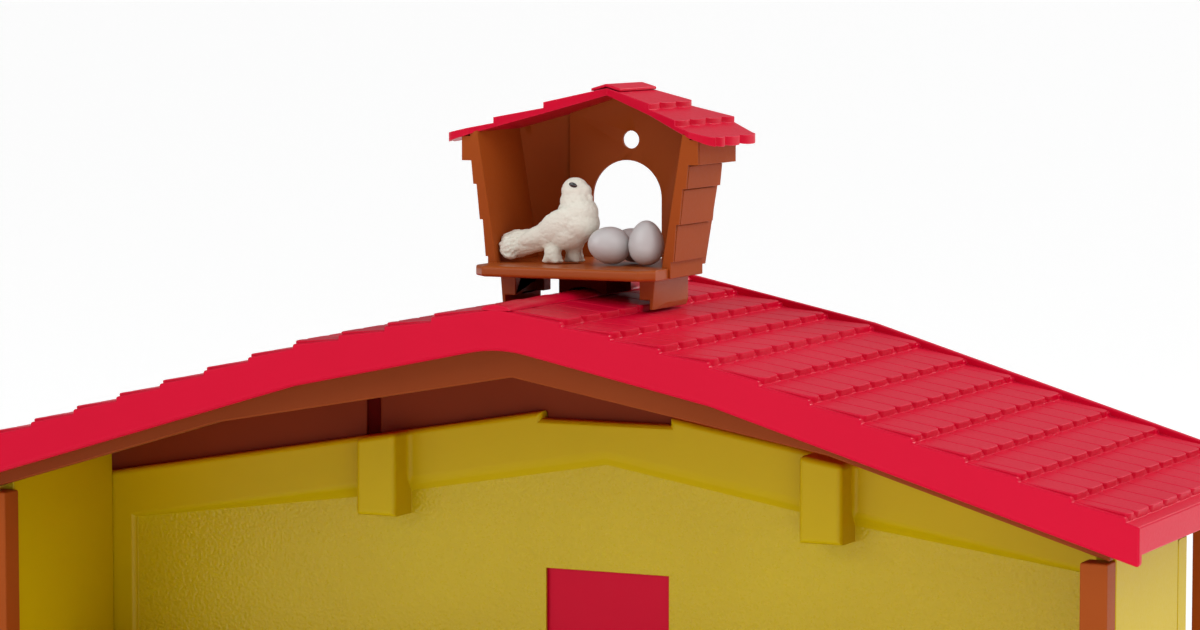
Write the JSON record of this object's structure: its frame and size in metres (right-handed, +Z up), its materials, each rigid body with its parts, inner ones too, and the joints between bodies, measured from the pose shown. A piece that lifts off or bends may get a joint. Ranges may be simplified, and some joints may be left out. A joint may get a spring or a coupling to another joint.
{
  "type": "toy barn",
  "caption": "Toy barn with a red tiled roof, plank double doors, loft hatch, shuttered windows, an open play side and a lift-off dovecote with dove and eggs on the ridge.",
  "frame": {"origin": "centre of the whole barn's box in plan, on the surface that the base plate stands on", "axes": "+X along the front wall, +Y out of the barn doors (the open play side faces -Y), +Z up"},
  "size_m": [0.3914, 0.1314, 0.3483],
  "materials": {
    "red_roof": "moulded crimson plastic, satin gloss with fine mould grain",
    "brown_timber": "moulded brown plastic with a light sheen and faint flow marks",
    "yellow_wall": "moulded mustard plastic with a coarse render texture",
    "base_stone": "moulded stone-grey plastic",
    "steel_pin": "bright drawn wire",
    "dove_white": "hand-finished off-white figure plastic with a grey-green wash in the feathers",
    "egg_lilac": "smooth lilac-grey plastic, satin"
  },
  "bodies": {
    "barn": {"base_plate": "base_stone", "front_wall": "yellow_wall", "gable_board": "brown_timber", "ridge_caps": "red_roof", "play_side_truss": "brown_timber", "porch_truss": "brown_timber", "loft_floor": "brown_timber", "loft_beam": "brown_timber", "stall_divider": "brown_timber", "door_frame": "brown_timber", "hatch_frame": "brown_timber", "hatch_pin": "steel_pin", "side_wall_left": "yellow_wall", "side_wall_right": "yellow_wall", "side_window_frame_left": "brown_timber", "side_window_frame_right": "brown_timber", "roof_left": "red_roof", "roof_right": "red_roof", "play_side_post_left": "brown_timber", "play_side_post_right": "brown_timber", "porch_post_left": "brown_timber", "porch_post_right": "brown_timber", "door_pin_left": "steel_pin", "door_pin_right": "steel_pin", "window_frame_left": "brown_timber", "window_frame_right": "brown_timber", "shutter_pin_left_inner": "steel_pin", "shutter_pin_left_outer": "steel_pin", "shutter_pin_right_inner": "steel_pin", "shutter_pin_right_outer": "steel_pin"},
    "door_left": {"door_leaf_left": "red_roof", "door_brace_left": "brown_timber", "door_pull_left": "steel_pin"},
    "door_right": {"door_leaf_right": "red_roof", "door_brace_right": "brown_timber", "door_pull_right": "steel_pin"},
    "hatch": {"hatch_leaf": "red_roof", "hatch_pull": "brown_timber"},
    "button": {"turn_button": "brown_timber"},
    "shutter_li": {"shutter_left_inner": "red_roof"},
    "shutter_lo": {"shutter_left_outer": "red_roof"},
    "shutter_ri": {"shutter_right_inner": "red_roof"},
    "shutter_ro": {"shutter_right_outer": "red_roof"},
    "ladder": {"loft_ladder": "brown_timber"},
    "dovecote": {"dovecote_floor": "brown_timber", "dovecote_saddle": "brown_timber", "dovecote_wall_left": "brown_timber", "dovecote_wall_right": "brown_timber", "dovecote_back": "brown_timber", "dovecote_roof": "red_roof", "dovecote_ridge_cap": "red_roof"},
    "dove": {"dove": "dove_white"},
    "eggs": {"egg_1": "egg_lilac", "egg_2": "egg_lilac", "egg_3": "egg_lilac"}
  },
  "joints": [
    {"name": "door_left_hinge", "type": "hinge", "parent": "barn", "child": "door_left", "pos_m": [-0.062, 0.0205, 0.066], "axis": [0, 0, 1], "range_deg": [0, 110]},
    {"name": "door_right_hinge", "type": "hinge", "parent": "barn", "child": "door_right", "pos_m": [0.062, 0.0205, 0.066], "axis": [0, 0, -1], "range_deg": [0, 110]},
    {"name": "hatch_hinge", "type": "hinge", "parent": "barn", "child": "hatch", "pos_m": [0.024, 0.0205, 0.18], "axis": [0, 0, -1], "range_deg": [0, 110]},
    {"name": "button_turn", "type": "hinge", "parent": "barn", "child": "button", "pos_m": [0, 0.0225, 0.1371], "axis": [0, 1, 0], "range_deg": [0, 90]},
    {"name": "shutter_li_hinge", "type": "hinge", "parent": "barn", "child": "shutter_li", "pos_m": [-0.1015, 0.02345, 0.086], "axis": [0, 0, 1], "range_deg": [0, 178]},
    {"name": "shutter_lo_hinge", "type": "hinge", "parent": "barn", "child": "shutter_lo", "pos_m": [-0.1485, 0.02345, 0.086], "axis": [0, 0, -1], "range_deg": [0, 178]},
    {"name": "shutter_ri_hinge", "type": "hinge", "parent": "barn", "child": "shutter_ri", "pos_m": [0.1015, 0.02345, 0.086], "axis": [0, 0, -1], "range_deg": [0, 178]},
    {"name": "shutter_ro_hinge", "type": "hinge", "parent": "barn", "child": "shutter_ro", "pos_m": [0.1485, 0.02345, 0.086], "axis": [0, 0, 1], "range_deg": [0, 178]},
    {"name": "ladder_lift", "type": "slide", "parent": "barn", "child": "ladder", "axis": [0, -1, 0], "range_m": [0, 0.03]},
    {"name": "dovecote_lift", "type": "slide", "parent": "barn", "child": "dovecote", "axis": [0, 0, 1], "range_m": [0, 0.04]},
    {"name": "dove_out", "type": "slide", "parent": "dovecote", "child": "dove", "axis": [0, -1, 0], "range_m": [0, 0.03]},
    {"name": "eggs_out", "type": "slide", "parent": "dovecote", "child": "eggs", "axis": [0, -1, 0], "range_m": [0, 0.04]}
  ]
}
